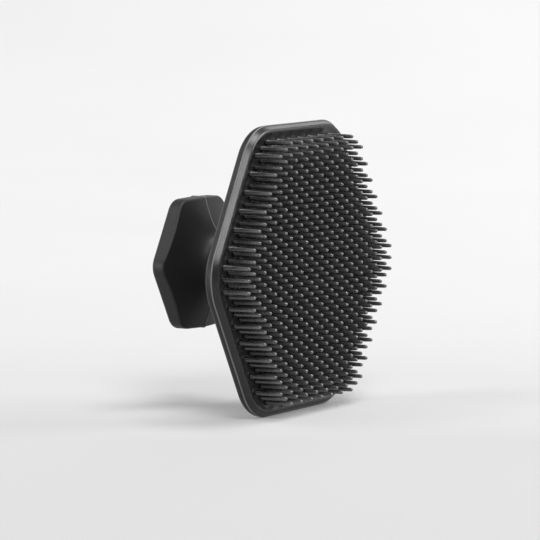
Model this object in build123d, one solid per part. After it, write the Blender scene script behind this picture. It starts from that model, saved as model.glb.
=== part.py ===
from build123d import *
import math
import os

# A scalp massager brush that stands on the bottom flat of its hexagonal head.  The bristles face -Y, the
# hexagonal knob is at +Y, and the head's corners point to -X and +X.  Every piece is drawn around the
# brush's axis first: z there is the depth behind the bristle tips, and place() stands it upright.

# Overall sizes, mm
OVERALL_DEPTH = 42.0     # bristle tips to the flat back of the knob
HEAD_FLATS = 77.8        # head across two flats
HEAD_CORNER_R = 13.5     # rounding of the head's six corners
KNOB_FLATS = 35.8        # knob across two flats
KNOB_CORNER_R = 5.0      # rounding of the knob's six corners
NECK_R = 7.5             # neck outside, silicone included

# Bristle pad
BRISTLE_LENGTH = 8.1
BRISTLE_PITCH = 3.15     # centre to centre, in every direction of the triangular pattern
BRISTLE_ROOT_R = 0.76
BRISTLE_TIP_R = 0.52
FIELD_MARGIN = 4.2       # head's flat to the outer line of bristles, at least
TRAY_DEPTH = 0.65        # how far the face lies below the rim's crest
RIM_DRAFT = 1.1          # how much the front band leans inward up to the crest
CREST_WIDTH = 0.5
TRAY_SLOPE = 1.9         # width of the slope from crest to face
PAD_SHEET = 0.8          # silicone under the bristles
PLATE_POCKET = 0.2       # how deep the head plate sits in the pad

# Head plate
PLATE_THICKNESS = 1.5
PLATE_EDGE_COVER = 2.6   # silicone outside the plate's edge
BOND_HOLE_R = 1.2
BOND_HOLES_PER_SIDE = 3
BOND_HOLE_SPACING = 10.0
BOND_HOLE_INSET = 4.0    # plate's flat to the hole centres

# Grip skin
BACK_SKIN = 1.1         # silicone behind the head plate
BACK_EDGE_R = 1.5
DOME_R = 34.0            # where the neck's spread meets the flat back of the head
DOME_HANDLE = 21.0
NECK_START = 8.7        # flat back of the head to the start of the plain neck
KNOB_WALL = 4.2          # knob's side at its corners
FLARE_LENGTH = 10.8      # knob's back to the end of the plain neck
FLARE_HANDLE = 1.95
FLARE_LEAN = 0.2        # rise of the flare per mm of radius at its outer edge
FLARE_SPREAD = 9.4
KNOB_BACK_EDGE_R = 1.0

# Stem
STEM_R = 5.5
STEM_BORE_R = 3.3
FLANGE_R = 11.0
FLANGE_THICKNESS = 2.0
TENON_FLATS = 7.6        # hexagonal end that keys the knob plate
TENON_LENGTH = 0.9
WEB_THICKNESS = 3.0      # between the stem's bore and the insert's pocket

# Knob plate and cap
KNOB_SIDE_COVER = 1.65   # silicone outside the knob plate's edge
KNOB_PLATE_THICKNESS = 2.0
BOSS_R = 6.8
BOSS_LENGTH = 2.2
SCREW_WELL_R = 3.6
SCREW_WELL_DEPTH = 2.3
CAP_THICKNESS = 1.2
CAP_LIP = 1.3            # silicone lip that laps over the knob plate's edge

# Fasteners
INSERT_R = 2.55
INSERT_LENGTH = 6.0
KNOB_SCREW_R = 1.5
KNOB_SCREW_LENGTH = 8.0
KNOB_SCREW_HEAD_R = 2.8
KNOB_SCREW_HEAD = 1.6
WASHER_R = 3.4
WASHER_THICKNESS = 0.5
FLANGE_SCREWS = 4
FLANGE_SCREW_CIRCLE_R = 8.2
FLANGE_SCREW_R = 1.0
FLANGE_SCREW_HEAD_R = 1.9
FLANGE_SCREW_LENGTH = 3.1
HEX_SOCKET_FLATS = 1.5
HEX_SOCKET_DEPTH = 0.8

# Clearances
SCREW_GAP = 0.05         # around a screw's shank
SEAT_GAP = 0.05          # around the insert, the washer and the tenon
CAP_GAP = 0.15           # between the cap's edge and the skin's lip

# Depths behind the bristle tips, and half widths, that follow from the sizes above
FACE = BRISTLE_LENGTH
CREST = FACE - TRAY_DEPTH
PLATE_FRONT = FACE + PAD_SHEET
SPLIT = PLATE_FRONT + PLATE_POCKET
PLATE_BACK = PLATE_FRONT + PLATE_THICKNESS
HEAD_BACK = PLATE_BACK + BACK_SKIN
FLANGE_BACK = PLATE_BACK + FLANGE_THICKNESS
KNOB_PLATE_BACK = OVERALL_DEPTH - CAP_THICKNESS
KNOB_PLATE_FRONT = KNOB_PLATE_BACK - KNOB_PLATE_THICKNESS
BOSS_FRONT = KNOB_PLATE_FRONT - BOSS_LENGTH
TENON_END = BOSS_FRONT + TENON_LENGTH
INSERT_FRONT = TENON_END - INSERT_LENGTH
WELL_FLOOR = KNOB_PLATE_BACK - SCREW_WELL_DEPTH
HEAD_HALF = HEAD_FLATS / 2
PLATE_HALF = HEAD_HALF - PLATE_EDGE_COVER
KNOB_HALF = KNOB_FLATS / 2
KNOB_PLATE_HALF = KNOB_HALF - KNOB_SIDE_COVER
LIP_HALF = KNOB_PLATE_HALF - CAP_LIP


def hexagon(half, corner_r):
    """A hexagon with its corners on the X axis, half its width across flats, and rounded corners."""
    outline = RegularPolygon(half, 6, major_radius=False)
    return fillet(outline.vertices(), corner_r) if corner_r else outline


def head_hexagon(inset):
    """The head's outline moved inward."""
    return hexagon(HEAD_HALF - inset, HEAD_CORNER_R - inset)


def knob_hexagon(inset):
    """The knob's outline moved inward."""
    return hexagon(KNOB_HALF - inset, KNOB_CORNER_R - inset)


def prism(outline, start, end):
    """An outline extruded between two depths."""
    return extrude(Pos(0, 0, start) * outline, end - start)


def disc(radius, start, end):
    """A round bar between two depths."""
    return prism(Circle(radius), start, end)


def turned(*edges):
    """A solid turned about the brush's axis, from edges drawn as (radius, depth)."""
    return revolve(Plane.XZ * make_face(list(edges)), Axis.Z)


def place(shape):
    """Stand a piece upright: the axis along +Y, the head's bottom flat on the floor."""
    stand = Plane(origin=(0, -OVERALL_DEPTH / 2, HEAD_HALF), x_dir=(1, 0, 0), z_dir=(0, 1, 0))
    return stand.location * shape


def bristle_places():
    """Centres of a triangular pattern that fills a hexagon with whole rows."""
    rows = math.floor((HEAD_HALF - FIELD_MARGIN) / BRISTLE_PITCH)
    half = rows * BRISTLE_PITCH + 0.01
    column_step = BRISTLE_PITCH * math.sqrt(3) / 2
    columns = math.floor(half / math.cos(math.radians(30)) / column_step)
    places = []
    for column in range(-columns, columns + 1):
        x = column * column_step
        reach = min(half, 2 * half - math.sqrt(3) * abs(x))
        offset = BRISTLE_PITCH / 2 * (column % 2)
        for row in range(-rows - 1, rows + 1):
            y = row * BRISTLE_PITCH + offset
            if abs(y) <= reach:
                places.append((x, y))
    return places


def bristle():
    """A tapered bristle with a domed tip, its root sunk in the face."""
    sunk = PAD_SHEET / 2
    shoulder = BRISTLE_TIP_R
    root = (BRISTLE_ROOT_R, FACE + sunk)
    side = Line(root, (BRISTLE_TIP_R, shoulder))
    dome = RadiusArc((BRISTLE_TIP_R, shoulder), (0, 0), BRISTLE_TIP_R)
    inside = Polyline((0, 0), (0, FACE + sunk), root)
    return turned(side, dome, inside)


def head_pad_body():
    """The pad without bristles: a drafted hexagonal sheet with a shallow tray in its face."""
    height = SPLIT - CREST
    draft = math.degrees(math.atan2(RIM_DRAFT, height))
    body = Pos(0, 0, SPLIT) * Rot(180, 0, 0) * extrude(head_hexagon(0), height, taper=draft)
    crest_inset = RIM_DRAFT + CREST_WIDTH
    slope = math.degrees(math.atan2(TRAY_SLOPE, TRAY_DEPTH))
    tray = Pos(0, 0, CREST) * extrude(head_hexagon(crest_inset), TRAY_DEPTH, taper=slope)
    return body - tray - plate_blank()


def bristle_pad():
    one = bristle()
    field = [Pos(x, y, 0) * one for x, y in bristle_places()]
    return head_pad_body().fuse(*field)


def plate_blank():
    return prism(head_hexagon(PLATE_EDGE_COVER), PLATE_FRONT, PLATE_BACK)


def bond_holes():
    """Holes near the plate's edge, a few along each side, that the skin's silicone flows through."""
    reach = PLATE_HALF - BOND_HOLE_INSET
    first = -(BOND_HOLES_PER_SIDE - 1) / 2 * BOND_HOLE_SPACING
    hole = disc(BOND_HOLE_R, PLATE_FRONT, PLATE_BACK)
    holes = []
    for side in range(6):
        for index in range(BOND_HOLES_PER_SIDE):
            along = first + index * BOND_HOLE_SPACING
            holes.append(Rot(0, 0, 60 * side) * Pos(along, reach, 0) * hole)
    return holes


def around_flange(shape):
    """Copies of a shape at the flange screws' places."""
    turn = 360 / FLANGE_SCREWS
    return [Rot(0, 0, turn * (i + 0.5)) * Pos(FLANGE_SCREW_CIRCLE_R, 0, 0) * shape for i in range(FLANGE_SCREWS)]


def countersink(shank_r, end):
    """The cone of a countersunk screw's head, then its shank."""
    cone_end = PLATE_FRONT + FLANGE_SCREW_HEAD_R - FLANGE_SCREW_R
    outline = Polyline(
        (0, PLATE_FRONT), (FLANGE_SCREW_HEAD_R, PLATE_FRONT), (FLANGE_SCREW_R, cone_end), (0, cone_end),
        close=True,
    )
    return turned(outline) + disc(shank_r, PLATE_FRONT, end)


def head_plate():
    plate = plate_blank()
    for hole in bond_holes():
        plate -= hole
    for hole in around_flange(countersink(FLANGE_SCREW_R + SCREW_GAP, PLATE_BACK)):
        plate -= hole
    return plate


def flange_screws():
    screw = countersink(FLANGE_SCREW_R, PLATE_FRONT + FLANGE_SCREW_LENGTH)
    socket = prism(hexagon(HEX_SOCKET_FLATS / 2, 0), PLATE_FRONT, PLATE_FRONT + HEX_SOCKET_DEPTH)
    return Compound(around_flange(screw - socket))


def stem_blank():
    """The stem's outside, with its flange and its hexagonal tenon."""
    post = disc(STEM_R, PLATE_BACK, BOSS_FRONT)
    flange = disc(FLANGE_R, PLATE_BACK, FLANGE_BACK)
    tenon = prism(hexagon(TENON_FLATS / 2, 0), BOSS_FRONT, TENON_END)
    return post + flange + tenon


def stem():
    post = stem_blank()
    web_front = INSERT_FRONT - WEB_THICKNESS
    post -= disc(STEM_BORE_R, PLATE_BACK, web_front)
    post -= disc(KNOB_SCREW_R + SCREW_GAP, web_front, INSERT_FRONT)
    post -= disc(INSERT_R + SEAT_GAP, INSERT_FRONT, TENON_END)
    screw_end = PLATE_FRONT + FLANGE_SCREW_LENGTH
    for hole in around_flange(disc(FLANGE_SCREW_R + SCREW_GAP, PLATE_BACK, screw_end)):
        post -= hole
    return post


def threaded_insert():
    sleeve = disc(INSERT_R, INSERT_FRONT, TENON_END)
    groove_width = INSERT_LENGTH / 5
    groove_front = INSERT_FRONT + (INSERT_LENGTH - groove_width) / 2
    groove_depth = (INSERT_R - KNOB_SCREW_R) / 3
    groove = disc(INSERT_R, groove_front, groove_front + groove_width)
    groove -= disc(INSERT_R - groove_depth, groove_front, groove_front + groove_width)
    return sleeve - groove - disc(KNOB_SCREW_R + SCREW_GAP, INSERT_FRONT, TENON_END)


def knob_plate_blank():
    """The knob plate's outside: a hexagonal plate with a round boss towards the stem."""
    plate = prism(knob_hexagon(KNOB_SIDE_COVER), KNOB_PLATE_FRONT, KNOB_PLATE_BACK)
    return plate + disc(BOSS_R, BOSS_FRONT, KNOB_PLATE_FRONT)


def knob_plate():
    plate = knob_plate_blank()
    plate -= prism(hexagon(TENON_FLATS / 2 + SEAT_GAP, 0), BOSS_FRONT, TENON_END)
    plate -= disc(SCREW_WELL_R, WELL_FLOOR, KNOB_PLATE_BACK)
    plate -= disc(KNOB_SCREW_R + SCREW_GAP, TENON_END, WELL_FLOOR)
    return plate


def washer():
    top = WELL_FLOOR + WASHER_THICKNESS
    return disc(WASHER_R, WELL_FLOOR, top) - disc(KNOB_SCREW_R + SEAT_GAP, WELL_FLOOR, top)


def knob_screw():
    under_head = WELL_FLOOR + WASHER_THICKNESS
    head_top = under_head + KNOB_SCREW_HEAD
    head = disc(KNOB_SCREW_HEAD_R, under_head, head_top)
    head = fillet(head.edges().sort_by(Axis.Z)[-1], KNOB_SCREW_HEAD / 3)
    socket = prism(hexagon(HEX_SOCKET_FLATS / 2, 0), head_top - HEX_SOCKET_DEPTH, head_top)
    return head + disc(KNOB_SCREW_R, under_head - KNOB_SCREW_LENGTH, under_head) - socket


def knob_cap():
    inset = KNOB_HALF - LIP_HALF + CAP_GAP
    return prism(knob_hexagon(inset), KNOB_PLATE_BACK, OVERALL_DEPTH)


def head_back():
    """The skin's share of the head: a hexagonal slab with a rounded back edge."""
    slab = prism(head_hexagon(0), SPLIT, HEAD_BACK)
    return fillet(slab.faces().sort_by(Axis.Z)[-1].edges(), BACK_EDGE_R)


def neck():
    """The neck, which spreads out over the back of the head."""
    flat = HEAD_BACK - BACK_SKIN / 2
    neck_start = HEAD_BACK + NECK_START
    neck_end = OVERALL_DEPTH - FLARE_LENGTH
    spread = Bezier(
        (DOME_R, HEAD_BACK), (DOME_R - DOME_HANDLE, HEAD_BACK), (NECK_R, neck_start - NECK_START / 2),
        (NECK_R, neck_start),
    )
    rest = Polyline((NECK_R, neck_start), (NECK_R, neck_end), (0, neck_end), (0, flat), (DOME_R, flat),
                    (DOME_R, HEAD_BACK))
    return turned(spread, rest)


def knob():
    """The knob: a hexagonal prism whose front is the flare of the neck."""
    corner = KNOB_HALF / math.cos(math.radians(30))
    neck_end = OVERALL_DEPTH - FLARE_LENGTH
    edge = OVERALL_DEPTH - KNOB_WALL
    flare = Bezier(
        (NECK_R, neck_end), (NECK_R, neck_end + FLARE_HANDLE),
        (corner - FLARE_SPREAD, edge - FLARE_LEAN * FLARE_SPREAD), (corner, edge),
    )
    rest = Polyline((corner, edge), (corner, OVERALL_DEPTH), (0, OVERALL_DEPTH), (0, neck_end),
                    (NECK_R, neck_end))
    block = turned(flare, rest) & prism(knob_hexagon(0), neck_end, OVERALL_DEPTH)
    block = fillet(block.faces().sort_by(Axis.Z)[-1].edges(), KNOB_BACK_EDGE_R)
    return block


def grip_skin():
    skin = head_back() + neck() + knob()
    plate = plate_blank()
    for hole in bond_holes():
        plate -= hole
    skin = skin - plate - stem_blank() - knob_plate_blank()
    inset = KNOB_HALF - LIP_HALF
    return skin - prism(knob_hexagon(inset), KNOB_PLATE_BACK, OVERALL_DEPTH)


PIECES = {
    "bristle_pad": bristle_pad,
    "grip_skin": grip_skin,
    "head_plate": head_plate,
    "stem": stem,
    "flange_screws": flange_screws,
    "threaded_insert": threaded_insert,
    "knob_plate": knob_plate,
    "washer": washer,
    "knob_screw": knob_screw,
    "knob_cap": knob_cap,
}

os.makedirs("parts", exist_ok=True)
for name, make in PIECES.items():
    export_step(place(make()), f"parts/{name}.step")
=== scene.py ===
import math

import bpy
import numpy as np
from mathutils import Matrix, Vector


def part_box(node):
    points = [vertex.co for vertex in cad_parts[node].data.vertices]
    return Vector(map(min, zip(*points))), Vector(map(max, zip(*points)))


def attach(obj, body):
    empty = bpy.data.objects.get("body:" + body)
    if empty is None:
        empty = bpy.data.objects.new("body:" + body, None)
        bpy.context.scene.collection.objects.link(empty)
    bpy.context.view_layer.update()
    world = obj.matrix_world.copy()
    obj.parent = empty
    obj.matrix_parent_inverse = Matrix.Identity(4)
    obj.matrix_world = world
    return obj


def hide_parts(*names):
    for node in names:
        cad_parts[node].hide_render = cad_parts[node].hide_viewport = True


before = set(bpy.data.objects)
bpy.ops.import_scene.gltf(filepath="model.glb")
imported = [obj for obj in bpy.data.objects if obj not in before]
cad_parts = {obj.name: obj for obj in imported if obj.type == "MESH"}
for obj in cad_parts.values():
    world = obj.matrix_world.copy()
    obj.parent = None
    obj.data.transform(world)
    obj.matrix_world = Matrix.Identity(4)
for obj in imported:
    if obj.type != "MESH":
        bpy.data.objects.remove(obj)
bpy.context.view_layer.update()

# ---------------------------------------------------------------------------------------------
# The bristle pad's sheet: the soft front of the head, moulded in black silicone.  The face lies in a
# shallow tray inside a raised crest, and outside the crest a band leans out to the parting line.
# The sheet is bonded to the stiff plate behind it, and at its edge to the grip skin.
# ---------------------------------------------------------------------------------------------

MM = 0.001
PAD_LOW, PAD_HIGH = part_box("bristle_pad")
PLATE_LOW, PLATE_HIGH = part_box("head_plate")
TIPS_Y = PAD_LOW.y
SPLIT_Y = PAD_HIGH.y
AXIS_Z = (PAD_LOW.z + PAD_HIGH.z) / 2
HEAD_HALF = (PAD_HIGH.z - PAD_LOW.z) / 2
HEAD_CORNER_R = 13.5 * MM
LEAST_CORNER_R = 0.2 * MM
PAD_THICKNESS = 0.8 * MM
FACE_Y = PLATE_LOW.y - PAD_THICKNESS
BAND_LEAN = 0.85 * MM
BAND_WIDTH = 1.38 * MM
BAND_END_Y = SPLIT_Y - BAND_WIDTH
CREST_R = 1.2 * MM
CREST_START_ANGLE = -58
CREST_END_ANGLE = -110
TRAY_END = 3.5 * MM
FACE_RINGS = 24
FACE_START = 0.08
# Rings of the face over which the painted shade between the bristles fades in.
PAINTED_SHADE_RINGS = 2
UNDER_STEP = 0.02 * MM
UNDER_END_INSET = HEAD_HALF * 0.9
ARC_STEPS = 10
FLAT_STEPS = 12
BODY_DARK = (0.010, 0.010, 0.0103)
BODY_LIGHT = (0.014, 0.014, 0.0145)
# Painted shade: the near-black tone painted on the sheet between the bristles, where shade falls.
PAINTED_SHADE_TONE = (0.002, 0.002, 0.0021)
LINT_TONE = (0.14, 0.14, 0.14)


def hexagon_outline(half, corner_r):
    """Points (x, z) round a hexagon with corners on the X axis: the sides of a sharp inner hexagon,
    pushed out along their normals by the corner radius, with an arc of normals at each corner."""
    inner = (half - corner_r) / math.cos(math.radians(30))
    turn = np.radians(np.linspace(-30, 30, ARC_STEPS + 1))
    slide = np.linspace(0, 1, FLAT_STEPS + 1)[1:-1, None]
    pieces = []
    for corner in range(6):
        here = inner * unit(np.radians(60 * corner))
        there = inner * unit(np.radians(60 * corner + 60))
        side = corner_r * unit(np.radians(60 * corner + 30))
        pieces.append(here + corner_r * unit(np.radians(60 * corner) + turn))
        pieces.append(here + (there - here) * slide + side)
    return np.vstack(pieces)


def unit(angle):
    """The direction (cosine, sine) of one angle or of an array of angles."""
    return np.stack([np.cos(angle), np.sin(angle)], axis=-1)


def ring(outline, y):
    """An outline (x, z) about the brush's axis, set at a depth y (one value or one per point)."""
    y = np.broadcast_to(y, len(outline))
    return np.column_stack([outline[:, 0], y, outline[:, 1] + AXIS_Z])


def head_ring(inset, y):
    """The head's outline moved inward by the inset: the corner radius shrinks with it, then the hexagon."""
    return ring(hexagon_outline(HEAD_HALF - inset, max(HEAD_CORNER_R - inset, LEAST_CORNER_R)), y)


def closed_mesh(name, rings, looped=False):
    """A closed mesh of quads between successive rings.  The last ring joins the first when looped,
    and otherwise a fan of triangles closes each end.  The order of the corners is turned round when
    the enclosed volume comes out negative, so that all faces point outward."""
    rings = np.asarray(rings)
    rows, columns = rings.shape[:2]
    index = np.arange(rows * columns).reshape(rows, columns)
    if looped:
        index = np.vstack([index, index[:1]])
    here, there = index[:-1], index[1:]
    quads = np.stack([here, np.roll(here, -1, 1), np.roll(there, -1, 1), there], axis=-1).reshape(-1, 4)
    points = rings.reshape(-1, 3)
    fans = np.empty((0, 3), int)
    if not looped:
        ends = np.stack([rings[0].mean(0), rings[-1].mean(0)])
        first, last = len(points), len(points) + 1
        points = np.vstack([points, ends])
        start = np.stack([np.full(columns, first), np.roll(index[0], -1), index[0]], axis=-1)
        finish = np.stack([np.full(columns, last), index[-1], np.roll(index[-1], -1)], axis=-1)
        fans = np.vstack([start, finish])
    triangles = np.vstack([quads[:, :3], quads[:, [0, 2, 3]], fans])
    a, b, c = (points[triangles[:, k]] for k in range(3))
    if np.einsum("ij,ij->i", a, np.cross(b, c)).sum() < 0:
        quads, fans = quads[:, ::-1], fans[:, ::-1]
    mesh = bpy.data.meshes.new(name)
    mesh.from_pydata(points.tolist(), [], quads.tolist() + fans.tolist())
    mesh.shade_smooth()
    piece = bpy.data.objects.new(name, mesh)
    bpy.context.scene.collection.objects.link(piece)
    return piece


def arc_insets(radius, start_angle, end_angle, steps):
    """Points (sideways, depth) on an arc about the origin between two angles in degrees."""
    angle = np.radians(np.linspace(start_angle, end_angle, steps + 1))
    return radius * np.column_stack([np.cos(angle), np.sin(angle)])


def pad_sheet_rings():
    """From the middle of the face out over the tray's slope, which steepens as the square of the way,
    over the shoulder's arc, down the leaning band to the parting line, and back under the sheet to
    the middle of the plate's face."""
    inner = HEAD_HALF - TRAY_END
    shares = np.linspace(FACE_START, 1, FACE_RINGS)
    face = [head_ring(HEAD_HALF - inner * share, FACE_Y) for share in shares]
    arc = arc_insets(CREST_R, CREST_END_ANGLE, CREST_START_ANGLE, 7)
    places = [(BAND_LEAN + arc[-1, 0] - s, BAND_END_Y + d - arc[-1, 1]) for s, d in arc]
    shoulder = [head_ring(inset, y) for inset, y in places]
    start_inset, start_y = places[0]
    slope = [
        head_ring(TRAY_END + (start_inset - TRAY_END) * r, FACE_Y + (start_y - FACE_Y) * r ** 2)
        for r in np.linspace(0, 1, 9)[1:-1]
    ]
    band_start = shoulder[-1]
    band_end = head_ring(0, SPLIT_Y)
    band = [band_start + (band_end - band_start) * share for share in (0.04, 0.5, 0.96, 1)]
    plate_inset = HEAD_HALF - (PLATE_HIGH.z - PLATE_LOW.z) / 2
    under = [
        head_ring(plate_inset, SPLIT_Y),
        head_ring(plate_inset + UNDER_STEP, PLATE_LOW.y),
        head_ring(UNDER_END_INSET, PLATE_LOW.y),
    ]
    return face + slope + shoulder + band + under


def nodes_of(material):
    """Turn a material's nodes on, empty it, and return a function that adds a node with its settings."""
    material.use_nodes = True
    tree = material.node_tree
    tree.nodes.clear()

    def add(kind, inputs=None, **settings):
        node = tree.nodes.new(kind)
        for key, value in settings.items():
            setattr(node, key, value)
        for key, value in (inputs or {}).items():
            if isinstance(value, bpy.types.NodeSocket):
                tree.links.new(value, node.inputs[key])
            else:
                node.inputs[key].default_value = value
        return node

    return add


def ramp(add, source, low, high, value_low, value_high):
    """Map a noise value between two limits to a number between two others."""
    node = add("ShaderNodeMapRange", {"Value": source, "From Min": low, "From Max": high,
                                      "To Min": value_low, "To Max": value_high})
    return node.outputs["Result"]


def silicone(name, dark, light, roughness, gloss, grain, painted_shade=False):
    """Moulded silicone: a body that turns from the dark to the light tone in faint clouds, a fine matt
    grain from the mould's blasted face, handling smudges in the gloss, and a few pale specks of lint.
    Where a piece carries a share of painted shade on its points, its colour is painted blacker by that
    share, as painted shade among the bristles."""
    material = bpy.data.materials.new(name)
    add = nodes_of(material)
    place = add("ShaderNodeTexCoord").outputs["Object"]
    cloud = add("ShaderNodeTexNoise", {"Vector": place, "Scale": 90.0, "Detail": 3.0}).outputs["Fac"]
    smudge = add("ShaderNodeTexNoise", {"Vector": place, "Scale": 34.0, "Detail": 5.0,
                                        "Distortion": 0.6}).outputs["Fac"]
    fine = add("ShaderNodeTexNoise", {"Vector": place, "Scale": 3800.0, "Detail": 2.0}).outputs["Fac"]
    body = add("ShaderNodeMix", {0: ramp(add, cloud, 0.3, 0.7, 0.0, 1.0), 6: (*dark, 1), 7: (*light, 1)},
               data_type="RGBA").outputs[2]
    lint = add("ShaderNodeTexVoronoi", {"Vector": place, "Scale": 420.0, "Randomness": 1.0})
    speck = ramp(add, lint.outputs["Distance"], 0.035, 0.05, 1.0, 0.0)
    rare = add("ShaderNodeMath", {0: lint.outputs["Color"], 1: 0.95}, operation="GREATER_THAN").outputs[0]
    dust = add("ShaderNodeMath", {0: speck, 1: rare}, operation="MULTIPLY").outputs[0]
    colour = add("ShaderNodeMix", {0: dust, 6: body, 7: (*LINT_TONE, 1)}, data_type="RGBA").outputs[2]
    # Painted shade: blacken the colour by the share held on the points.
    if painted_shade:
        painted_shade_share = add("ShaderNodeAttribute", attribute_name="painted_shade").outputs["Fac"]
        painted_shade_mix = add("ShaderNodeMix", {0: painted_shade_share, 6: colour, 7: (*PAINTED_SHADE_TONE, 1)}, data_type="RGBA")
        colour = painted_shade_mix.outputs[2]
    bump = add("ShaderNodeBump", {"Height": fine, "Strength": grain, "Distance": 0.05 * MM})
    rough = ramp(add, smudge, 0.3, 0.7, roughness - 0.04, roughness + 0.04)
    shader = add("ShaderNodeBsdfPrincipled", {"Base Color": colour, "Roughness": rough, "IOR": 1.45,
                                              "Specular IOR Level": gloss,
                                              "Normal": bump.outputs["Normal"]})
    add("ShaderNodeOutputMaterial", {"Surface": shader.outputs["BSDF"]})
    return material


def mark_painted_shade(sheet):
    """The share of painted shade, from 0 at the tray's slope to 1 between the bristles, held on every point
    of the sheet:
    it rises evenly over the outermost rings of the face, and is 0 from the slope outward. It paints the
    shade that falls among the bristles into the sheet's colour."""
    columns = len(hexagon_outline(HEAD_HALF, HEAD_CORNER_R))
    share = np.zeros(len(sheet.data.vertices))
    depth_in = np.clip((FACE_RINGS - 1 - np.arange(FACE_RINGS)) / PAINTED_SHADE_RINGS, 0, 1)
    share[:FACE_RINGS * columns] = np.repeat(depth_in, columns)
    share[-2] = 1
    sheet.data.attributes.new("painted_shade", "FLOAT", "POINT").data.foreach_set("value", share)


pad_silicone = silicone("pad_silicone", BODY_DARK, BODY_LIGHT, 0.32, 0.5, 0.6, painted_shade=True)
pad_sheet = closed_mesh("pad_sheet", pad_sheet_rings())
# Paint the shade that falls between the bristles into the sheet's colour.
mark_painted_shade(pad_sheet)
pad_sheet.data.materials.append(pad_silicone)
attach(pad_sheet, "root")
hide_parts("bristle_pad")

# ---------------------------------------------------------------------------------------------
# The bristles: tapered silicone fingers with domed tips, moulded in one with the sheet.  They
# stand in a triangular pattern that fills a hexagon, each with a small flare at its root.
# ---------------------------------------------------------------------------------------------

PITCH = 3.15 * MM
FIELD_MARGIN = 4.2 * MM
ROOT_R = 0.76 * MM
TIP_R = 0.52 * MM
ROOT_FLARE = 0.3 * MM
ROOT_SINK = 0.12 * MM
DOME_END_ANGLE = -62
FIELD_SLACK = 0.01 * MM
TIP_WANDER = 0.05 * MM
BRISTLE_SIDES = 10
# Painted shade and light along each bristle: near black at the root, paler towards the tip.
ROOT_PAINTED_SHADE_TONE = (0.002, 0.002, 0.0021)
TIP_PAINTED_LIGHT_TONE = (0.086, 0.086, 0.087)
PAINTED_SHADE_POWER = 2.8
BRISTLE_LENGTH = FACE_Y - TIPS_Y


def bristle_places():
    """Centres (x, z) of whole rows and staggered columns that lie inside the field's hexagon."""
    rows = math.floor((HEAD_HALF - FIELD_MARGIN) / PITCH)
    half = rows * PITCH + FIELD_SLACK
    step = PITCH * math.sqrt(3) / 2
    columns = math.floor(half / math.cos(math.radians(30)) / step)
    across, up = np.arange(-columns, columns + 1), np.arange(-rows - 1, rows + 1)
    column, row = np.meshgrid(across, up, indexing="ij")
    x = column * step
    z = (row + (column % 2) / 2) * PITCH
    inside = np.abs(z) <= np.minimum(half, 2 * half - math.sqrt(3) * np.abs(x))
    return np.column_stack([x[inside], z[inside]])


def bristle_rings():
    """One bristle as rings of (radius, depth behind the tip): flare at the root, straight taper, then
    a dome of the tip's own radius."""
    dome = arc_insets(TIP_R, 0, DOME_END_ANGLE, 2)[1:]
    profile = [(ROOT_R + ROOT_FLARE, BRISTLE_LENGTH + ROOT_SINK), (ROOT_R, BRISTLE_LENGTH - ROOT_FLARE),
               (TIP_R, TIP_R)]
    profile += [(side, TIP_R + depth) for side, depth in dome]
    turn = unit(np.arange(BRISTLE_SIDES) * 2 * math.pi / BRISTLE_SIDES)
    return np.stack([np.column_stack([r * turn[:, 0], np.full(BRISTLE_SIDES, d), r * turn[:, 1]])
                     for r, d in profile])


def bristle_field():
    """Every bristle in one mesh: the single bristle's points, leant a hair's breadth by a seeded
    amount that grows with the square of the height, and moved to each place."""
    rings = bristle_rings()
    rows = len(rings)
    points = np.vstack([rings.reshape(-1, 3), [[0, 0, 0]]])
    index = np.arange(rows * BRISTLE_SIDES).reshape(rows, BRISTLE_SIDES)
    here, there = index[:-1], index[1:]
    quads = np.stack([here, there, np.roll(there, -1, 1), np.roll(here, -1, 1)], axis=-1).reshape(-1, 4)
    peak = np.full(BRISTLE_SIDES, rows * BRISTLE_SIDES)
    tip = np.stack([index[-1], peak, np.roll(index[-1], -1)], axis=-1)
    places = bristle_places()
    lean = np.random.default_rng(5).normal(0, TIP_WANDER, (len(places), 2))
    height = ((BRISTLE_LENGTH - points[:, 1]).clip(0) / BRISTLE_LENGTH) ** 2
    every = np.repeat(points[None], len(places), axis=0)
    every[:, :, 0] += places[:, :1] + lean[:, :1] * height
    every[:, :, 2] += places[:, 1:] + lean[:, 1:] * height + AXIS_Z
    every[:, :, 1] += TIPS_Y
    shift = (np.arange(len(places)) * len(points))[:, None, None]
    faces = (quads[None] + shift).reshape(-1, 4).tolist() + (tip[None] + shift).reshape(-1, 3).tolist()
    faces += (index[0][None] + shift[:, :, 0]).tolist()
    mesh = bpy.data.meshes.new("bristles")
    mesh.from_pydata(every.reshape(-1, 3).tolist(), [], faces)
    mesh.shade_smooth()
    piece = bpy.data.objects.new("bristles", mesh)
    bpy.context.scene.collection.objects.link(piece)
    return piece


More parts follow.
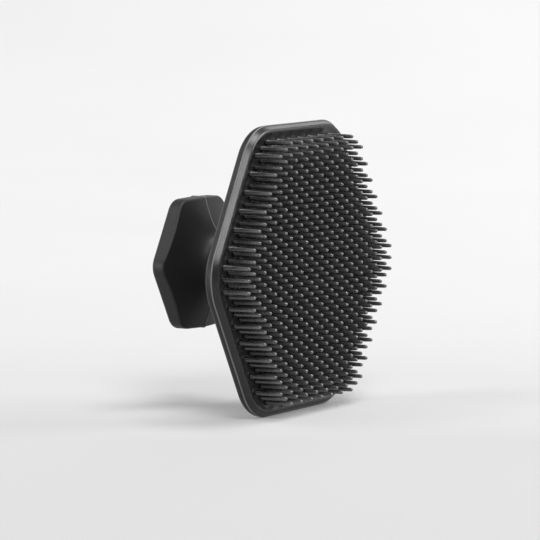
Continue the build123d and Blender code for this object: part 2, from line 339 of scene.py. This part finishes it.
def bristle_silicone():
    """The pad's silicone on the bristles: wiped to a soft gloss, and painted near black at the roots and
    paler towards
    the tips: painted shade deep among the bristles and painted light on their tips."""
    material = bpy.data.materials.new("bristle_silicone")
    add = nodes_of(material)
    place = add("ShaderNodeTexCoord").outputs["Object"]
    depth = add("ShaderNodeSeparateXYZ", {"Vector": place}).outputs["Y"]
    height = ramp(add, depth, FACE_Y, TIPS_Y, 0.0, 1.0)
    # How fast the painted shade at the roots gives way to the painted light at the tips.
    painted_shade_falloff = add("ShaderNodeMath", {0: height, 1: PAINTED_SHADE_POWER}, operation="POWER").outputs[0]
    mottle = add("ShaderNodeTexNoise", {"Vector": place, "Scale": 700.0, "Detail": 3.0}).outputs["Fac"]
    uneven = ramp(add, mottle, 0.3, 0.7, 0.85, 1.1)
    share = add("ShaderNodeMath", {0: painted_shade_falloff, 1: uneven}, operation="MULTIPLY").outputs[0]
    # Painted shade at the roots, painted light towards the tips.
    tone = add("ShaderNodeMix", {0: share, 6: (*ROOT_PAINTED_SHADE_TONE, 1), 7: (*TIP_PAINTED_LIGHT_TONE, 1)}, data_type="RGBA")
    bump = add("ShaderNodeBump", {"Height": mottle, "Strength": 0.2, "Distance": 0.02 * MM})
    shader = add("ShaderNodeBsdfPrincipled", {"Base Color": tone.outputs[2], "IOR": 1.6,
                                              "Specular IOR Level": 0.8,
                                              "Roughness": ramp(add, mottle, 0.3, 0.7, 0.25, 0.33),
                                              "Normal": bump.outputs["Normal"]})
    add("ShaderNodeOutputMaterial", {"Surface": shader.outputs["BSDF"]})
    return material


bristles = bristle_field()
bristles.data.materials.append(bristle_silicone())
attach(bristles, "root")
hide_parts("bristle_pad")

# ---------------------------------------------------------------------------------------------
# The grip skin: one black silicone moulding that covers the back of the head, the waisted neck and
# the knob, and laps over the edges of the stiff core inside.  Its mould opens to the two sides, so
# the knob thins a little to each side of the upright plane through the axis.
# ---------------------------------------------------------------------------------------------

KNOB_BACK_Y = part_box("grip_skin")[1].y
STEM_LOW, STEM_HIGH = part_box("stem")
KNOB_PLATE_LOW, KNOB_PLATE_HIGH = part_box("knob_plate")
CAP_LOW, CAP_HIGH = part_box("knob_cap")
KNOB_HALF = 17.9 * MM
KNOB_CORNER_R = 5.0 * MM
NECK_R = 7.5 * MM
BACK_SKIN = 1.1 * MM
HEAD_BACK_Y = PLATE_HIGH.y + BACK_SKIN
BACK_EDGE_R = 1.5 * MM
DOME_R = 34.0 * MM
DOME_HANDLE = 21.0 * MM
SPREAD_LENGTH = 8.7 * MM
NECK_START_Y = HEAD_BACK_Y + SPREAD_LENGTH
FLARE_LENGTH = 10.8 * MM
NECK_END_Y = KNOB_BACK_Y - FLARE_LENGTH
KNOB_WALL = 4.2 * MM
FLARE_HANDLE = 1.95 * MM
FLARE_LEAN = 0.2
FLARE_SPREAD = 9.4 * MM
KNOB_FRONT_EDGE_R = 0.7 * MM
FRONT_EDGE_ANGLE = -75
KNOB_BACK_EDGE_R = 1.0 * MM
MOULD_DRAFT = 0.025
CAP_GAP = 0.15 * MM
LIP_HALF = (CAP_HIGH.z - CAP_LOW.z) / 2 + CAP_GAP
LIP_BEVEL = 0.15 * MM
FLANGE_THICKNESS = 2.0 * MM
KNOB_PLATE_THICKNESS = 2.0 * MM
BOSS_R = 6.8 * MM
STEM_R = 5.5 * MM
CURVE_RINGS = 26
BACK_CROWDING = 1.7
FLARE_CROWDING = 1.5


def bezier(points, count=200):
    """Points on a cubic curve with four control points, evenly spaced in its parameter."""
    t = np.linspace(0, 1, count)[:, None]
    a, b, c, d = (np.array(p) for p in points)
    return (1 - t) ** 3 * a + 3 * (1 - t) ** 2 * t * b + 3 * (1 - t) * t ** 2 * c + t ** 3 * d


def knob_ring(inset, y):
    """The knob's outline moved inward."""
    return ring(hexagon_outline(KNOB_HALF - inset, max(KNOB_CORNER_R - inset, LEAST_CORNER_R)), y)


def round_ring(radius, y, like):
    """A circle with its points in the directions of another ring's points."""
    across = like[:, [0, 2]] - [0, AXIS_Z]
    return ring(radius * across / np.linalg.norm(across, axis=1, keepdims=True), y)


def spokes(from_ring, to_ring, curve, shares):
    """Rings between two rings along straight spokes from the axis, each point at the depth that the
    curve of (radius, depth) gives for its own radius."""
    start = from_ring[:, [0, 2]] - [0, AXIS_Z]
    end = to_ring[:, [0, 2]] - [0, AXIS_Z]
    order = np.argsort(curve[:, 0])
    found = []
    for share in shares:
        across = start + (end - start) * share
        depth = np.interp(np.linalg.norm(across, axis=1), curve[order, 0], curve[order, 1])
        found.append(ring(across, depth))
    return found


def flare_curve():
    """The knob's front: from the plain neck it opens like a trumpet to the knob's edge."""
    corner = KNOB_HALF / math.cos(math.radians(30))
    edge = KNOB_BACK_Y - KNOB_WALL
    return bezier([(NECK_R, NECK_END_Y), (NECK_R, NECK_END_Y + FLARE_HANDLE),
                   (corner - FLARE_SPREAD, edge - FLARE_LEAN * FLARE_SPREAD), (corner, edge)])


def dome_curve():
    """The back of the head: flat near the edge, and rising in a long sweep into the neck."""
    sweep = bezier([(NECK_R, NECK_START_Y), (NECK_R, (NECK_START_Y + HEAD_BACK_Y) / 2),
                    (DOME_R - DOME_HANDLE, HEAD_BACK_Y), (DOME_R, HEAD_BACK_Y)])
    return np.vstack([sweep, [[2 * DOME_R, HEAD_BACK_Y]]])


def outer_rings():
    """The visible skin: the head's side and rounded back edge, its swept back, the neck, the flare,
    then the knob's rounded front edge, side, back edge and back up to the cap."""
    side_end = HEAD_BACK_Y - BACK_EDGE_R
    side = [head_ring(0, SPLIT_Y + (side_end - SPLIT_Y) * share) for share in (0, 0.1, 0.9, 1)]
    edge = [head_ring(BACK_EDGE_R - s, side_end + d) for s, d in arc_insets(BACK_EDGE_R, 0, 90, 8)[1:]]
    knob_edge = knob_ring(0, 0)
    neck_start = round_ring(NECK_R, NECK_START_Y, edge[-1])
    neck_end = round_ring(NECK_R, NECK_END_Y, knob_edge)
    back_shares = 1 - np.linspace(1, 0, CURVE_RINGS)[1:-1] ** BACK_CROWDING
    back = spokes(edge[-1], neck_start, dome_curve(), back_shares)
    neck = [neck_start + (neck_end - neck_start) * share for share in np.linspace(0, 1, 8)]
    flare_shares = np.linspace(0, 1, CURVE_RINGS)[1:] ** FLARE_CROWDING
    flare = spokes(neck_end, knob_ring(KNOB_FRONT_EDGE_R, 0), flare_curve(), flare_shares)
    front = flare[-1]
    for s, d in arc_insets(KNOB_FRONT_EDGE_R, FRONT_EDGE_ANGLE, 0, 6)[1:]:
        rounded = knob_ring(KNOB_FRONT_EDGE_R - s, 0)
        rounded[:, 1] = front[:, 1] + KNOB_FRONT_EDGE_R + d
        flare.append(rounded)
    wall_start = flare[-1]
    wall_end = KNOB_BACK_Y - KNOB_BACK_EDGE_R
    wall = []
    for share in np.linspace(0, 1, 5)[1:]:
        level = wall_start.copy()
        level[:, 1] += (wall_end - level[:, 1]) * share
        wall.append(level)
    rim_arc = arc_insets(KNOB_BACK_EDGE_R, 0, 90, 6)[1:]
    rim = [knob_ring(KNOB_BACK_EDGE_R - s, wall_end + d) for s, d in rim_arc]
    lip_inset = KNOB_HALF - LIP_HALF
    lip = [knob_ring(lip_inset - LIP_BEVEL, KNOB_BACK_Y), knob_ring(lip_inset, KNOB_BACK_Y - LIP_BEVEL)]
    return side + edge + back + neck + flare + wall + rim + lip


def draft(rings):
    """Thin the knob to each side of the mould's parting plane: the flare falls back, and the flats
    close in, by a small share of the distance from that plane."""
    level = (rings[:, :, 1] - NECK_END_Y) / (KNOB_BACK_Y - KNOB_WALL - NECK_END_Y)
    front = np.clip(level, 0, 1) * np.clip((KNOB_BACK_Y - rings[:, :, 1]) / KNOB_WALL, 0, 1)
    away = np.abs(rings[:, :, 0]) * MOULD_DRAFT
    rings[:, :, 1] += away * front
    height = rings[:, :, 2] - AXIS_Z
    reach = np.clip(np.abs(height) / KNOB_HALF, 0, 1)
    rings[:, :, 2] -= np.sign(height) * away * np.clip(level, 0, 1) * reach
    return rings


def inner_rings():
    """The skin's inner wall, from the cap's recess forward round the knob plate, its boss, the stem,
    the flange and the head plate, to the parting face behind the pad."""
    knob_inset = KNOB_HALF - (KNOB_PLATE_HIGH.z - KNOB_PLATE_LOW.z) / 2
    plate_inset = HEAD_HALF - (PLATE_HIGH.z - PLATE_LOW.z) / 2
    flange_r = (STEM_HIGH.z - STEM_LOW.z) / 2
    flange_back = STEM_LOW.y + FLANGE_THICKNESS
    knob_plate_front = KNOB_PLATE_HIGH.y - KNOB_PLATE_THICKNESS
    knob_like = knob_ring(0, 0)
    head_like = head_ring(0, 0)
    return [
        knob_ring(KNOB_HALF - LIP_HALF, KNOB_PLATE_HIGH.y),
        knob_ring(knob_inset, KNOB_PLATE_HIGH.y),
        knob_ring(knob_inset, knob_plate_front),
        round_ring(BOSS_R, knob_plate_front, knob_like),
        round_ring(BOSS_R, KNOB_PLATE_LOW.y, knob_like),
        round_ring(STEM_R, KNOB_PLATE_LOW.y, knob_like),
        round_ring(STEM_R, flange_back, head_like),
        round_ring(flange_r, flange_back, head_like),
        round_ring(flange_r, PLATE_HIGH.y, head_like),
        head_ring(plate_inset, PLATE_HIGH.y),
        head_ring(plate_inset, SPLIT_Y),
    ]


skin_rings = draft(np.stack(outer_rings()))
whole_wall = np.concatenate([skin_rings, np.stack(inner_rings())])
grip_silicone = silicone("grip_silicone", (0.010, 0.010, 0.0105), BODY_LIGHT, 0.5, 0.38, 0.4)
grip_skin = closed_mesh("grip_skin_moulding", whole_wall, looped=True)
grip_skin.data.materials.append(grip_silicone)
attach(grip_skin, "root")
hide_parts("grip_skin")

# ---------------------------------------------------------------------------------------------
# The mould lines: fine beads of silicone where two halves of a mould met, coloured much paler than the body
# as a
#  painted highlight along the beads.  One runs in the upright plane through the axis, over the head's back,
#  the neck and the knob.  The other goes round the head, where the pad is bonded to the grip skin.
# ---------------------------------------------------------------------------------------------

LINE_R = 0.2 * MM
LINE_SIDES = 8
LINE_START = 5
LEAST_STEP = 0.05 * MM
PARTING_R = 0.2 * MM
PER_SIDE = ARC_STEPS + FLAT_STEPS
TOP_COLUMN = PER_SIDE + ARC_STEPS + FLAT_STEPS // 2
BOTTOM_COLUMN = TOP_COLUMN + 3 * PER_SIDE


def bead_rings(path):
    """A small round bead carried along a path in the plane x = 0, at right angles to the path."""
    along = np.gradient(path, axis=0)
    along /= np.linalg.norm(along, axis=1, keepdims=True)
    outward = np.cross(along, [1, 0, 0])
    turn = unit(np.arange(LINE_SIDES) * 2 * math.pi / LINE_SIDES) * LINE_R
    sideways = np.array([1.0, 0, 0])
    return path[:, None] + turn[None, :, :1] * sideways + turn[None, :, 1:] * outward[:, None]


def mould_line(name, column):
    """The bead along one column of the skin's rings, kept to that column's middle plane."""
    path = skin_rings[LINE_START:-1, column].copy()
    path[:, 0] = 0
    apart = np.linalg.norm(np.diff(path, axis=0), axis=1) > LEAST_STEP
    return closed_mesh(name, bead_rings(path[np.append(True, apart)]))


def parting_rings():
    """A round bead carried along the head's outline: rings that differ in inset and depth by the
    cosine and sine of the angle round the bead."""
    turn = PARTING_R * unit(np.arange(LINE_SIDES) * 2 * math.pi / LINE_SIDES)
    return [head_ring(inset, SPLIT_Y + depth) for inset, depth in turn]


# Painted highlight: the beads' pale tone stands in for the light caught along their ridges.
painted_highlight_line_silicone = silicone("painted_highlight_line_silicone", (0.12, 0.12, 0.121), (0.16, 0.16, 0.161), 0.38, 0.5, 0.3)
for line_name, line_column in (("mould_line_top", TOP_COLUMN), ("mould_line_bottom", BOTTOM_COLUMN)):
    line = mould_line(line_name, line_column)
    line.data.materials.append(painted_highlight_line_silicone)
    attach(line, "root")

parting_line = closed_mesh("parting_line", parting_rings(), looped=True)
parting_line.data.materials.append(painted_highlight_line_silicone)
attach(parting_line, "root")

# ---------------------------------------------------------------------------------------------
# The knob cap: a flat hexagon of the same silicone, pressed into the recess in the knob's back
# over the screw, with softened edges.
# ---------------------------------------------------------------------------------------------

CAP_EDGE_R = 0.3 * MM
CAP_FRONT_BEVEL = 0.05 * MM
CAP_FRONT_INSET = KNOB_HALF * 0.8


def cap_rings():
    """Front face, side, a rounded back edge and the flat back, each ring a hexagon."""
    inset = KNOB_HALF - (CAP_HIGH.z - CAP_LOW.z) / 2
    top = CAP_HIGH.y - CAP_EDGE_R
    start = [knob_ring(CAP_FRONT_INSET, CAP_LOW.y), knob_ring(inset + CAP_FRONT_BEVEL, CAP_LOW.y)]
    side = [knob_ring(inset + CAP_EDGE_R - s, top + d) for s, d in arc_insets(CAP_EDGE_R, 0, 90, 5)]
    inward = (0.05, 0.1, 0.4, 0.7, 0.9)
    back = [knob_ring(inset + (KNOB_HALF - inset) * share, CAP_HIGH.y) for share in inward]
    return start + side + back


knob_cap = closed_mesh("knob_cap_moulding", cap_rings())
knob_cap.data.materials.append(grip_silicone)
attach(knob_cap, "root")
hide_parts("knob_cap")

# ---------------------------------------------------------------------------------------------
# The stiff core: the head plate, the stem and the knob plate, injection moulded in dark grey
# plastic, all sealed under the silicone.
# ---------------------------------------------------------------------------------------------


def moulded_plastic(name):
    """Dark grey plastic with a faint spark-eroded texture and slightly uneven gloss."""
    material = bpy.data.materials.new(name)
    add = nodes_of(material)
    place = add("ShaderNodeTexCoord").outputs["Object"]
    flow = add("ShaderNodeTexNoise", {"Vector": place, "Scale": 60.0, "Detail": 4.0}).outputs["Fac"]
    texture = add("ShaderNodeTexNoise", {"Vector": place, "Scale": 2400.0, "Detail": 2.0}).outputs["Fac"]
    tone = add("ShaderNodeValToRGB", {"Fac": flow})
    tone.color_ramp.elements[0].color = (0.045, 0.046, 0.048, 1)
    tone.color_ramp.elements[1].color = (0.07, 0.071, 0.074, 1)
    bump = add("ShaderNodeBump", {"Height": texture, "Strength": 0.3, "Distance": 0.03 * MM})
    rough = ramp(add, flow, 0.3, 0.7, 0.42, 0.56)
    shader = add("ShaderNodeBsdfPrincipled", {"Base Color": tone.outputs["Color"], "Roughness": rough,
                                              "Normal": bump.outputs["Normal"]})
    add("ShaderNodeOutputMaterial", {"Surface": shader.outputs["BSDF"]})
    return material


def dress(node, material):
    """Give a piece from the frame its material."""
    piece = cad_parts[node]
    piece.data.materials.clear()
    piece.data.materials.append(material)


core_plastic = moulded_plastic("core_plastic")
for core_node in ("head_plate", "stem", "knob_plate"):
    dress(core_node, core_plastic)

# ---------------------------------------------------------------------------------------------
# The fasteners: stainless screws and washer, and the brass insert pressed into the stem.
# ---------------------------------------------------------------------------------------------


def turned_metal(name, dark, light, roughness):
    """Turned metal: fine rings about the brush's axis in the finish, and a little tarnish."""
    material = bpy.data.materials.new(name)
    add = nodes_of(material)
    place = add("ShaderNodeTexCoord").outputs["Object"]
    rings = add("ShaderNodeTexWave", {"Vector": place, "Scale": 900.0, "Distortion": 1.5},
                wave_type="BANDS", bands_direction="Y").outputs["Fac"]
    tarnish = add("ShaderNodeTexNoise", {"Vector": place, "Scale": 300.0, "Detail": 4.0}).outputs["Fac"]
    tone = add("ShaderNodeValToRGB", {"Fac": tarnish})
    tone.color_ramp.elements[0].color = (*dark, 1)
    tone.color_ramp.elements[1].color = (*light, 1)
    bump = add("ShaderNodeBump", {"Height": rings, "Strength": 0.15, "Distance": 0.02 * MM})
    rough = ramp(add, tarnish, 0.3, 0.7, roughness - 0.06, roughness + 0.08)
    shader = add("ShaderNodeBsdfPrincipled", {"Base Color": tone.outputs["Color"], "Metallic": 1.0,
                                              "Roughness": rough, "Normal": bump.outputs["Normal"]})
    add("ShaderNodeOutputMaterial", {"Surface": shader.outputs["BSDF"]})
    return material


screw_steel = turned_metal("screw_steel", (0.42, 0.42, 0.43), (0.6, 0.6, 0.61), 0.3)
for steel_node in ("flange_screws", "knob_screw", "washer"):
    dress(steel_node, screw_steel)
dress("threaded_insert", turned_metal("insert_brass", (0.55, 0.38, 0.14), (0.74, 0.56, 0.26), 0.32))

# ---------------------------------------------------------------------------------------------
# The stage: a pale studio sweep, a large softbox overhead, a small key light high on the camera's
# side, five more softboxes round the brush that draw its edges, and an even pale surround.  None
# of it is part of the brush.
# ---------------------------------------------------------------------------------------------

CAMERA_AT = Vector((-0.8753, -0.52005, 0.1399))
AIM_AT = Vector((-0.0072, -0.00865, 0.0386))
LENS = 251.5
VIEW_TURN = math.atan2(AIM_AT.y - CAMERA_AT.y, AIM_AT.x - CAMERA_AT.x)
PAPER_START = -0.2
PAPER_END = 1.3
# The paper's greys along its heading, a painted gradient of light, and the strength of its painted glow.
PAPER_TONES = (
    (0.0, 0.358), (0.09, 0.372), (0.13, 0.418), (0.175, 0.405),
    (0.24, 0.44), (0.36, 0.478), (0.6, 0.535), (1.0, 0.605),
)
PAPER_GLOW = 0.35
SWEEP_START, FLOOR_END, SWEEP_BEND, SWEEP_TOP = -3.5, 0.6, 2.0, 3.4
SWEEP_HALF_WIDTH = 6.0
SURROUND_STRENGTH = 0.12
SENSOR_WIDTH = 36


def sweep_mesh():
    """A floor that runs back from behind the camera and curves up into a wall, as a profile of
    (distance, height) carried sideways, and turned to face the camera."""
    flat = [(SWEEP_START, 0.0), (-1.0, 0.0), (0.3, 0.0)]
    bend = [(FLOOR_END + s, SWEEP_BEND + d) for s, d in arc_insets(SWEEP_BEND, -90, 0, 48)]
    profile = np.array(flat + bend + [(FLOOR_END + SWEEP_BEND, SWEEP_TOP)])
    across = np.linspace(-SWEEP_HALF_WIDTH, SWEEP_HALF_WIDTH, 13)
    back, side = np.meshgrid(profile[:, 0], across, indexing="ij")
    up = np.repeat(profile[:, 1:], len(across), axis=1)
    turn, tilt = math.cos(VIEW_TURN), math.sin(VIEW_TURN)
    points = np.stack([back * turn - side * tilt, back * tilt + side * turn, up], axis=-1)
    index = np.arange(points.shape[0] * points.shape[1]).reshape(points.shape[:2])
    quads = np.stack([index[:-1, :-1], index[1:, :-1], index[1:, 1:], index[:-1, 1:]], axis=-1)
    mesh = bpy.data.meshes.new("studio_sweep")
    mesh.from_pydata(points.reshape(-1, 3).tolist(), [], quads.reshape(-1, 4).tolist())
    mesh.shade_smooth()
    return mesh


def sweep_paper():
    """Matt paper that glows faintly with its own tone, a painted glow that keeps shadows on it weak, and
    painted from a mid grey in front of the brush to a paler one behind it as a painted gradient of light:
    the grey follows the distance along one heading of the floor, with a faint mottle."""
    material = bpy.data.materials.new("sweep_paper")
    add = nodes_of(material)
    place = add("ShaderNodeTexCoord").outputs["Object"]
    heading = (math.cos(VIEW_TURN), math.sin(VIEW_TURN), 0.0)
    distance = add("ShaderNodeVectorMath", {0: place, 1: heading}, operation="DOT_PRODUCT").outputs["Value"]
    # Painted gradient of light: the paper's grey rises with the distance behind the brush.
    painted_light_ramp = add("ShaderNodeValToRGB", {"Fac": ramp(add, distance, PAPER_START, PAPER_END, 0.0, 1.0)})
    tones = painted_light_ramp.color_ramp.elements
    while len(tones) < len(PAPER_TONES):
        tones.new(0.5)
    for tone, (share, grey) in zip(tones, PAPER_TONES):
        tone.position = share
        tone.color = (grey, grey, grey, 1)
    mottle = add("ShaderNodeTexNoise", {"Vector": place, "Scale": 6.0, "Detail": 2.0}).outputs["Fac"]
    even = ramp(add, mottle, 0.3, 0.7, 0.99, 1.01)
    mottled = add("ShaderNodeVectorMath", {0: painted_light_ramp.outputs["Color"], "Scale": even}, operation="SCALE")
    paper = mottled.outputs["Vector"]
    # Painted glow: the paper emits its own tone so that shadows on it stay weak.
    shader = add("ShaderNodeBsdfPrincipled", {"Base Color": paper, "Roughness": 0.9,
                                              "Specular IOR Level": 0.1, "Emission Color": paper,
                                              "Emission Strength": PAPER_GLOW})
    add("ShaderNodeOutputMaterial", {"Surface": shader.outputs["BSDF"]})
    return material


floor = bpy.data.objects.new("studio_sweep", sweep_mesh())
bpy.context.scene.collection.objects.link(floor)
floor.data.materials.append(sweep_paper())


def softbox(name, toward, distance, width, height, power):
    """A soft area light in a direction from the middle of the brush, facing it."""
    data = bpy.data.lights.new(name, "AREA")
    data.shape = "RECTANGLE"
    data.size, data.size_y = width, height
    data.energy = power
    lamp = bpy.data.objects.new(name, data)
    middle = Vector((0, 0, AXIS_Z))
    away = Vector(toward).normalized()
    lamp.location = middle + away * distance
    lamp.rotation_euler = away.to_track_quat("Z", "Y").to_euler()
    bpy.context.scene.collection.objects.link(lamp)


softbox("overhead_softbox", (0.10, -0.20, 0.97), 3.0, 1.2, 1.2, 60)
softbox("key_softbox", (-0.522, -0.472, 0.71), 1.3, 0.45, 0.45, 9)
softbox("edge_softbox", (-0.43, 0.51, 0.745), 1.3, 0.5, 0.5, 4.4)
softbox("left_softbox", (-0.80, 0.56, 0.12), 1.2, 0.6, 0.3, 6)
softbox("right_softbox", (0.857, 0.152, 0.49), 1.4, 0.6, 0.5, 1.5)
softbox("front_softbox", (0.60, -0.70, 0.38), 1.2, 0.5, 0.4, 9)
softbox("back_softbox", (0.05, 0.97, 0.22), 1.3, 0.5, 0.35, 2.5)

world = bpy.data.worlds.new("studio")
world.use_nodes = True
surround = world.node_tree.nodes["Background"]
surround.inputs["Color"].default_value = (1, 1, 1, 1)
surround.inputs["Strength"].default_value = SURROUND_STRENGTH
bpy.context.scene.world = world

lens = bpy.data.cameras.new("camera")
lens.lens = LENS
lens.sensor_width = SENSOR_WIDTH
camera = bpy.data.objects.new("camera", lens)
camera.location = CAMERA_AT
camera.rotation_euler = (AIM_AT - CAMERA_AT).to_track_quat("-Z", "Y").to_euler()
bpy.context.scene.collection.objects.link(camera)
bpy.context.scene.camera = camera
bpy.context.scene.view_settings.view_transform = "Standard"
